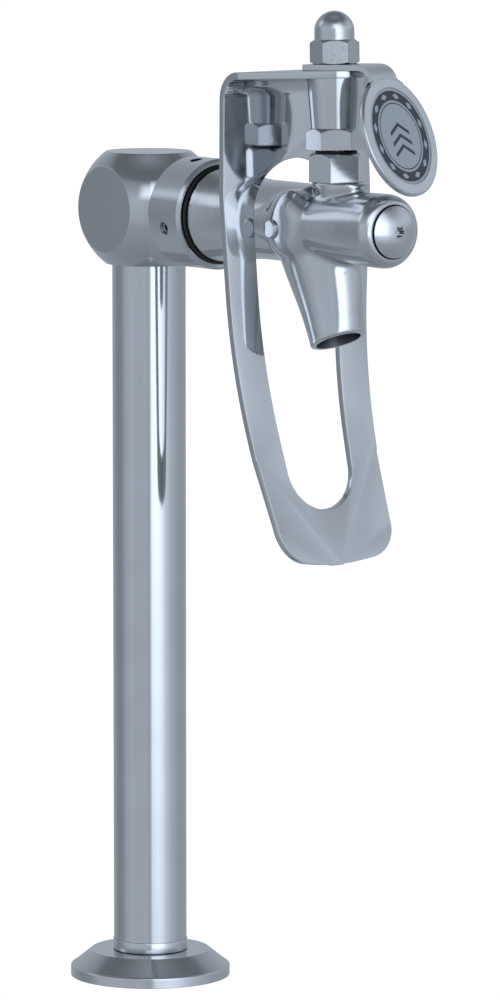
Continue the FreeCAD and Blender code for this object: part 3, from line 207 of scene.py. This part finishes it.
def badgeFinish(setup):
    material, tree, shader = startMaterial("badgeFace")
    turn = (math.radians(90 - setup["lean"]), 0, math.radians(setup["heading"]))
    place = addNode(tree, "ShaderNodeTexCoord").outputs["Object"]
    onDisc = addNode(tree, "ShaderNodeMapping", {"Vector": place, "Location": setup["centre"], "Rotation": turn,
                                                 "Scale": (setup["radius"],) * 3}, vector_type="TEXTURE")
    across = addNode(tree, "ShaderNodeSeparateXYZ", {"Vector": onDisc.outputs["Vector"]})
    u, v = across.outputs["X"], across.outputs["Y"]
    out = sums(tree, "SQRT", sums(tree, "ADD", sums(tree, "MULTIPLY", u, u), sums(tree, "MULTIPLY", v, v)))
    inner, outer = setup["band"]
    middle = (inner + outer) / 2
    band = sums(tree, "LESS_THAN", sums(tree, "ABSOLUTE", sums(tree, "SUBTRACT", out, middle)), (outer - inner) / 2)
    # Diamonds: the same shape once in each sector of the band
    sector = 2 * math.pi / setup["diamonds"]
    angle = sums(tree, "ARCTAN2", v, u)
    along = sums(tree, "SUBTRACT", sums(tree, "FLOORED_MODULO", angle, sector), sector / 2)
    sideways = sums(tree, "ABSOLUTE", sums(tree, "MULTIPLY", along, middle * setup["diamondSqueeze"]))
    inwards = sums(tree, "ABSOLUTE", sums(tree, "SUBTRACT", out, middle))
    diamond = sums(tree, "LESS_THAN", sums(tree, "ADD", sideways, inwards), setup["diamondSize"])
    fromLine = sums(tree, "ABSOLUTE", sums(tree, "SUBTRACT", out, inner - setup["lineInset"]))
    ring = sums(tree, "LESS_THAN", fromLine, setup["line"])
    # Chevrons: three bent bars, one above the other, pointing up
    slope = sums(tree, "MULTIPLY", sums(tree, "ABSOLUTE", u), setup["chevronSlope"])
    rise = sums(tree, "SUBTRACT", v, slope)
    shifted = sums(tree, "ADD", rise, setup["chevronShift"])
    step = sums(tree, "FLOORED_MODULO", shifted, setup["chevronStep"])
    bar = sums(tree, "LESS_THAN", step, setup["chevronStep"] * setup["chevronBar"])
    fromMiddle = sums(tree, "ABSOLUTE", sums(tree, "SUBTRACT", rise, setup["stackMiddle"]))
    stack = sums(tree, "LESS_THAN", fromMiddle, setup["chevronStep"] * setup["stackSteps"])
    narrow = sums(tree, "LESS_THAN", sums(tree, "ABSOLUTE", u), setup["chevronWidth"])
    chevrons = sums(tree, "MULTIPLY", sums(tree, "MULTIPLY", bar, stack), narrow)
    inked = sums(tree, "MAXIMUM", sums(tree, "MULTIPLY", band, sums(tree, "SUBTRACT", 1.0, diamond)),
                  sums(tree, "MAXIMUM", ring, chevrons))
    grain = grainOf(tree, 1500.0, 3.0)
    paper = mixed(tree, grain, setup["field"], tuple(c * 0.8 for c in setup["field"]))
    tree.links.new(mixed(tree, inked, paper, setup["ink"]), shader.inputs["Base Color"])
    tree.links.new(between(tree, inked, 0.42, 0.30, 0.0, 1.0), shader.inputs["Roughness"])
    dent = addNode(tree, "ShaderNodeBump", {"Strength": 0.5, "Distance": 0.00005, "Height": inked})
    tree.links.new(dent.outputs["Normal"], shader.inputs["Normal"])
    return material


steelColour = (0.645, 0.665, 0.69)
finishes = {
    "polishedTube": metalFinish("polishedTube", steelColour, rough=0.10, grain=240.0, stretch=(1, 1, 0.02),
                                bump=0.08, edge=0.0004),
    "turnedSteel": metalFinish("turnedSteel", steelColour, rough=0.13, grain=240.0, stretch=(1, 1, 5.0),
                               bump=0.10, edge=0.0004),
    "castSteel": metalFinish("castSteel", steelColour, rough=0.10, grain=150.0, stretch=(1, 1, 1),
                             bump=0.14, edge=0.0008, cloud=0.10),
    # bore walls: a dark colour that paints the shade inside drilled recesses and gaps
    "paintedShadeBore": metalFinish("paintedShadeBore", (0.16, 0.17, 0.18), rough=0.35, grain=300.0, stretch=(1, 1, 1),
                             bump=0.2, edge=0.0002),
    "elbowSteel": metalFinish("elbowSteel", steelColour, rough=0.085, grain=400.0, stretch=(1, 1, 1),
                              bump=0.10, edge=0.0004, cloud=0.08),
    "sheetSteel": metalFinish("sheetSteel", steelColour, rough=0.07, grain=300.0, stretch=(1, 1, 0.05),
                              bump=0.08, edge=0.0006),
    "nutSteel": metalFinish("nutSteel", steelColour, rough=0.17, grain=1400.0, stretch=(1, 1, 1),
                            bump=0.35, edge=0.0005, cloud=0.08, speckle=0.06),
    "badgePlate": metalFinish("badgePlate", steelColour, rough=0.20, grain=300.0, stretch=(1, 1, 1),
                              bump=0.05, edge=0.0004),
    "screwSteel": metalFinish("screwSteel", (0.40, 0.41, 0.44), rough=0.3, grain=300.0, stretch=(1, 1, 1),
                              bump=0.2, edge=0.0002),
    "brass": metalFinish("brass", (0.72, 0.55, 0.28), rough=0.25, grain=300.0, stretch=(1, 1, 1),
                         bump=0.2, edge=0.0002),
    "blackRubber": dullFinish("blackRubber", (0.006, 0.006, 0.007), rough=0.6, bump=0.3),
    "seatPlastic": dullFinish("seatPlastic", (0.80, 0.80, 0.78), rough=0.45, bump=0.2),
    "badgeFace": badgeFinish(badgeSetup),
}

nodeFinishes = {
    "polishedTube": ["column_tube", "beer_line"],
    "turnedSteel": ["base_flange", "foot_collar", "coupling_nut", "side_plug", "nose_cap", "lever_sleeve",
                    "bonnet_nut"],
    "castSteel": ["tap_body"],
    "elbowSteel": ["elbow_body"],
    "sheetSteel": ["lever_plate"],
    "badgePlate": ["badge_bracket"],
    "nutSteel": ["acorn_nut"],
    "screwSteel": ["lock_screw", "lever_stud", "lever_spindle", "return_spring"],
    "brass": ["tap_shank", "plunger"],
    "blackRubber": ["foot_seal", "elbow_seal", "shank_seal", "barrel_gasket", "plunger_ring", "valve_seal",
                    "stem_wiper"],
    "seatPlastic": ["ball_seat"],
    "badgeFace": ["badge_insert"],
}
for finish, names in nodeFinishes.items():
    for name in names:
        node = nodes[name]
        if not node.material_slots:
            node.data.materials.append(None)
        for slot in node.material_slots:
            slot.link = "OBJECT"
            slot.material = finishes[finish]
print("finishes on", sum(len(v) for v in nodeFinishes.values()), "nodes")


# Casting: the CAD casting with its joining edges rubbed smooth, and its bores cut crisp again, their walls darkened
# with painted shade
boss = {"forward": -0.1150, "height": 0.3386}
# how far out each step of the boss starts and ends, radius at the start, radius at the end
bossSteps = [(0.0192, 0.0184, 0.0070, 0.0098), (0.01841, 0.0168, 0.0098, 0.0127), (0.01681, 0.0140, 0.0127, 0.0150)]
castingSetup = {
    "voxel": 0.00052,
    "axis": 0.3386,
    "rubbing": 110,
    "polishing": 8,
    # millimetres in front of the column and above the barrel's axis: rubbing fades in, then fades out
    "rubbedForward": (98, 106, 149, 156),
    "rubbedRise": (-43, -36, 11.5, 14.4),
    "smoothBelow": 32,
    # start, end, radius at the start, radius at the end
    "fillings": [
        ((0, -0.05275, 0.3386), (0, -0.075, 0.3386), 0.0126, 0.0126),
        ((0, -0.148, 0.3386), (0, -0.1674, 0.3386), 0.0116, 0.0116),
        ((0, -0.1313, 0.2906), (0, -0.1264, 0.3016), 0.0099, 0.0099),
        ((0, -0.1296, 0.345), (0, -0.1296, 0.3631), 0.0076, 0.0076),
        ((-0.010, -0.110, 0.3371), (-0.0190, -0.110, 0.3371), 0.0044, 0.0044),
        *(((side * start, boss["forward"], boss["height"]), (side * end, boss["forward"], boss["height"]),
           startRadius, endRadius) for start, end, startRadius, endRadius in bossSteps for side in (1, -1)),
        ((-0.0141, boss["forward"], boss["height"]), (0.0141, boss["forward"], boss["height"]), 0.0150, 0.0150),
    ],
    "drillings": [
        ((0, -0.050, 0.3386), (0, -0.084, 0.3386), 0.0121, 0.0115),
        ((0, -0.083, 0.3386), (0, -0.155, 0.3386), 0.0080, 0.0080),
        ((0, -0.1538, 0.3386), (0, -0.1665, 0.3386), 0.0095, 0.0095),
        ((0, -0.1658, 0.3386), (0, -0.170, 0.3386), 0.0114, 0.0114),
        ((0, -0.13229, 0.28777), (0, -0.1145, 0.3386), 0.0098, 0.0065),
        ((0, -0.1296, 0.3542), (0, -0.1296, 0.366), 0.0072, 0.0072),
        ((-0.0125, -0.110, 0.3371), (-0.024, -0.110, 0.3371), 0.00405, 0.00405),
    ],
}


def pickOnly(thing):
    bpy.ops.object.select_all(action="DESELECT")
    thing.select_set(True)
    bpy.context.view_layer.objects.active = thing


def copyOfNode(name, newName):
    pickOnly(nodes[name])
    bpy.ops.object.duplicate()
    copy = bpy.context.object
    copy.name = newName
    copy.data.name = newName
    del copy["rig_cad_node"]
    del copy["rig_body"]
    copy.parent = None
    bpy.ops.object.mode_set(mode="EDIT")
    bpy.ops.mesh.select_all(action="SELECT")
    bpy.ops.mesh.remove_doubles(threshold=0.000001)
    bpy.ops.object.mode_set(mode="OBJECT")
    return copy


def addTaper(start, end, startRadius, endRadius, corners=96):
    dx, dy, dz = (e - s for s, e in zip(start, end))
    middle = tuple((s + e) / 2 for s, e in zip(start, end))
    turn = (math.atan2(math.hypot(dx, dy), dz), 0, math.atan2(dx, -dy))
    bpy.ops.mesh.primitive_cone_add(vertices=corners, radius1=startRadius, radius2=endRadius,
                                    depth=math.sqrt(dx * dx + dy * dy + dz * dz), location=middle, rotation=turn)
    return bpy.context.object


def applyModifier(thing, kind, **settings):
    pickOnly(thing)
    modifier = thing.modifiers.new(kind.lower(), kind)
    for key, value in settings.items():
        setattr(modifier, key, value)
    bpy.ops.object.modifier_apply(modifier=modifier.name)


def ease(value, low, high):
    share = min(1.0, max(0.0, (value - low) / (high - low)))
    return share * share * (3 - 2 * share)


def within(value, limits):
    return ease(value, limits[0], limits[1]) * (1 - ease(value, limits[2], limits[3]))


def makeCasting(setup):
    casting = copyOfNode("tap_body", "tap_casting")
    plugs = [addTaper(*filling) for filling in setup["fillings"]]
    pickOnly(casting)
    for plug in plugs:
        plug.select_set(True)
    bpy.ops.object.join()
    applyModifier(casting, "REMESH", mode="VOXEL", voxel_size=setup["voxel"])
    # Where the forms join, the skin is rubbed down; the mouth, the pad and the nose keep their edges
    rubbed = casting.vertex_groups.new(name="rubbed")
    for corner in casting.data.vertices:
        forward, rise = -corner.co.y * 1000, (corner.co.z - setup["axis"]) * 1000
        weight = within(forward, setup["rubbedForward"]) * within(rise, setup["rubbedRise"])
        if weight > 0:
            rubbed.add([corner.index], weight, "REPLACE")
    applyModifier(casting, "SMOOTH", factor=0.5, iterations=setup["rubbing"], vertex_group="rubbed")
    applyModifier(casting, "SMOOTH", factor=0.5, iterations=setup["polishing"])
    casting.data.materials.clear()
    casting.data.materials.append(finishes["castSteel"])
    for drilling in setup["drillings"]:
        drill = addTaper(*drilling)
        # the walls the drill leaves take the dark bore finish, painted shade
        drill.data.materials.append(finishes["paintedShadeBore"])
        applyModifier(casting, "BOOLEAN", operation="DIFFERENCE", solver="EXACT", material_mode="TRANSFER",
                      object=drill)
        bpy.data.objects.remove(drill)
    pickOnly(casting)
    bpy.ops.object.shade_smooth_by_angle(angle=math.radians(setup["smoothBelow"]))
    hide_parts("tap_body")
    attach(casting, "tower")
    return casting


casting = makeCasting(castingSetup)
print("casting made,", len(casting.data.polygons), "faces")


# Paddle: the folded sheet with its cut edges rounded
paddleSetup = {"edge": 0.0007, "steps": 3, "sharp": 35.0, "merge": 0.00012, "flat": 0.6, "smoothBelow": 30}


def makePaddle(setup):
    paddle = copyOfNode("lever_plate", "paddle_sheet")
    bpy.ops.object.mode_set(mode="EDIT")
    bpy.ops.mesh.select_all(action="SELECT")
    bpy.ops.mesh.remove_doubles(threshold=setup["merge"])
    bpy.ops.mesh.dissolve_limited(angle_limit=math.radians(setup["flat"]))
    bpy.ops.object.mode_set(mode="OBJECT")
    applyModifier(paddle, "BEVEL", width=setup["edge"], segments=setup["steps"], limit_method="ANGLE",
                  angle_limit=math.radians(setup["sharp"]), use_clamp_overlap=True)
    pickOnly(paddle)
    bpy.ops.object.shade_smooth_by_angle(angle=math.radians(setup["smoothBelow"]))
    for slot in paddle.material_slots:
        slot.link = "OBJECT"
        slot.material = finishes["sheetSteel"]
    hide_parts("lever_plate")
    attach(paddle, "lever")
    return paddle


paddle = makePaddle(paddleSetup)
print("paddle made,", len(paddle.data.polygons), "faces")


def makeSpring():
    spring = copyOfNode("return_spring", "spring_coil")
    for slot in spring.material_slots:
        slot.link = "OBJECT"
        slot.material = finishes["screwSteel"]
    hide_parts("return_spring")
    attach(spring, "tower")
    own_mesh(spring)


makeSpring()


# Foot of the column: a ring flush with the tube, on a thin black line
ringBore = 0.01602
footRings = {
    "foot_ring": {"radius": 0.01622, "low": 0.01146, "high": 0.0163, "edge": 0.0001, "finish": "turnedSteel",
                  "stands": "foot_collar", "slot": "polished_steel"},
    "foot_line": {"radius": 0.01614, "low": 0.0113, "high": 0.01148, "edge": 0.00003, "finish": "blackRubber",
                  "stands": "foot_seal", "slot": "black_rubber"},
}


def makeRing(name, setup):
    bpy.ops.object.select_all(action="DESELECT")
    depth = setup["high"] - setup["low"]
    bpy.ops.mesh.primitive_cylinder_add(vertices=160, radius=setup["radius"], depth=depth, end_fill_type="NOTHING",
                                        location=(0, 0, setup["low"] + depth / 2))
    ring = bpy.context.object
    ring.name = ring.data.name = name
    bpy.ops.object.transform_apply(location=True, rotation=True, scale=True)
    applyModifier(ring, "SOLIDIFY", thickness=setup["radius"] - ringBore, offset=-1)
    applyModifier(ring, "BEVEL", width=setup["edge"], segments=2, limit_method="ANGLE", angle_limit=1.0)
    pickOnly(ring)
    bpy.ops.object.shade_smooth_by_angle(angle=math.radians(40))
    ring.data.materials.append(finishes[setup["finish"]])
    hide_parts(setup["stands"])
    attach(ring, "tower")


for ringName, ringSetup in footRings.items():
    makeRing(ringName, ringSetup)
print("foot rings made")


# Floor and light: a white sheet, and a studio of soft greys with softboxes near the camera and to both sides
studio = {
    "floorSize": 40.0,
    "floorPaint": 0.40,
    "floorGlow": 0.90,
    "floorRough": 0.9,
    "floorShine": 0.1,
    "floorLevel": -0.0002,
    "cameraHeading": -127.2,
    "tint": (0.905, 1.0, 1.12),
    # degrees above the level, brightness all round
    "heights": [(-90, 0.30), (-60, 0.34), (-30, 0.41), (-14, 0.45), (0, 0.47), (16, 0.52), (30, 0.44), (42, 0.34),
                (49, 0.20), (62, 0.18), (74, 0.24), (90, 0.36)],
    # degrees to the right of the camera, what is added near the level
    "round": [(-180, -0.02), (-140, -0.06), (-120, -0.17), (-97, -0.14), (-84, 0.02), (-62, 0.12), (-30, 0.08),
              (-12, 0.10), (0, 0.02), (30, 0.35), (42, 0.36), (60, 0.26), (80, 0.10), (102, -0.02), (140, -0.04),
              (180, -0.02)],
    "level": [(-90, 0), (-32, 0), (-14, 0.8), (-4, 1), (16, 1), (30, 0.15), (46, 0), (90, 0)],
    # the softboxes: a tall one beside the camera, one over it, a weak one far right and one far left
    "boxes": [
        {"round": [(2.0, 0), (7.0, 1), (24, 0.95), (38, 0.62), (52, 0.14), (66, 0)],
         "level": [(-26, 0.02), (-13, 0.22), (-10, 0.6), (-7, 1), (30, 1), (40, 0.75), (48, 0)]},
        {"round": [(-20, 0), (-8, 0.75), (4, 0.9), (8, 0)], "level": [(14, 0), (24, 1), (34, 0.8), (44, 0)]},
        {"round": [(68, 0), (84, 0.06), (98, 0.17), (116, 0.17), (136, 0)],
         "level": [(0, 0), (12, 1), (30, 1), (44, 0)]},
        {"round": [(-118, 0), (-110, 0.5), (-95, 0.5), (-86, 0)], "level": [(15, 0), (23, 1), (34, 1), (42, 0)]},
    ],
    "boxStrength": 1.05,
    "rampTop": 2.0,  # a ramp holds 0 to 1, so brightness is divided by this in it
    "ringLift": 0.2,  # and what is added is lifted by this, since it can be below 0
}


def addRamp(tree, share, stops):
    ramp = addNode(tree, "ShaderNodeValToRGB", {"Fac": share})
    marks = ramp.color_ramp.elements
    while len(marks) < len(stops):
        marks.new(0.5)
    for mark, (position, value) in zip(marks, stops):
        mark.position = position
        mark.color = (value, value, value, 1)
    return ramp.outputs["Color"]


def makeWorld(setup):
    world = bpy.data.worlds.new("studioWorld")
    bpy.context.scene.world = world
    world.use_nodes = True
    tree = world.node_tree
    around = addNode(tree, "ShaderNodeTexCoord").outputs["Generated"]
    parts = addNode(tree, "ShaderNodeSeparateXYZ", {"Vector": around})
    height = sums(tree, "ADD", sums(tree, "DIVIDE", sums(tree, "ARCSINE", parts.outputs["Z"]), math.pi), 0.5)
    right = sums(tree, "SUBTRACT", sums(tree, "ARCTAN2", parts.outputs["Y"], parts.outputs["X"]),
                 math.radians(setup["cameraHeading"] - 180))
    right = sums(tree, "DIVIDE", sums(tree, "FLOORED_MODULO", right, 2 * math.pi), 2 * math.pi)

    top, ringLift = setup["rampTop"], setup["ringLift"]

    def heightRamp(stops):
        return addRamp(tree, height, [((d + 90) / 180, v / top) for d, v in stops])

    def roundRamp(stops, lift=0.0):
        return addRamp(tree, right, [((d + 180) / 360, (v + lift) / top) for d, v in stops])

    sky = sums(tree, "MULTIPLY", heightRamp(setup["heights"]), top)
    ringLight = sums(tree, "SUBTRACT", sums(tree, "MULTIPLY", roundRamp(setup["round"], ringLift), top), ringLift)
    level = sums(tree, "MULTIPLY", heightRamp(setup["level"]), top)
    light = sums(tree, "MULTIPLY_ADD", ringLight, level, sky)
    for box in setup["boxes"]:
        glow = sums(tree, "MULTIPLY", roundRamp(box["round"]), heightRamp(box["level"]))
        light = sums(tree, "MULTIPLY_ADD", glow, top * top * setup["boxStrength"], light)
    seen = addNode(tree, "ShaderNodeLightPath").outputs["Is Camera Ray"]
    strength = sums(tree, "MULTIPLY", light, sums(tree, "SUBTRACT", 1.0, seen))
    tinted = addNode(tree, "ShaderNodeVectorMath", {0: setup["tint"], "Scale": strength}, operation="SCALE")
    plain = addNode(tree, "ShaderNodeVectorMath", {0: (1, 1, 1), "Scale": seen}, operation="SCALE")
    both = addNode(tree, "ShaderNodeVectorMath", {0: tinted.outputs[0], 1: plain.outputs[0]}, operation="ADD")
    background = tree.nodes["Background"]
    tree.links.new(both.outputs[0], background.inputs["Color"])


def makeFloor(setup):
    bpy.ops.mesh.primitive_plane_add(size=setup["floorSize"], location=(0, 0, setup["floorLevel"]))
    floor = bpy.context.object
    floor.name = "studioFloor"
    material, _, shader = startMaterial("studioFloorPaint")
    shader.inputs["Base Color"].default_value = (*(setup["floorPaint"],) * 3, 1)
    shader.inputs["Roughness"].default_value = setup["floorRough"]
    shader.inputs["Specular IOR Level"].default_value = setup["floorShine"]
    shader.inputs["Emission Color"].default_value = (1, 1, 1, 1)
    shader.inputs["Emission Strength"].default_value = setup["floorGlow"]
    floor.data.materials.append(material)
    floor.visible_glossy = False
    floor.visible_shadow = False


makeWorld(studio)
makeFloor(studio)
bpy.context.scene.view_settings.view_transform = "Standard"
print("studio lit")

bpy.context.view_layer.update()
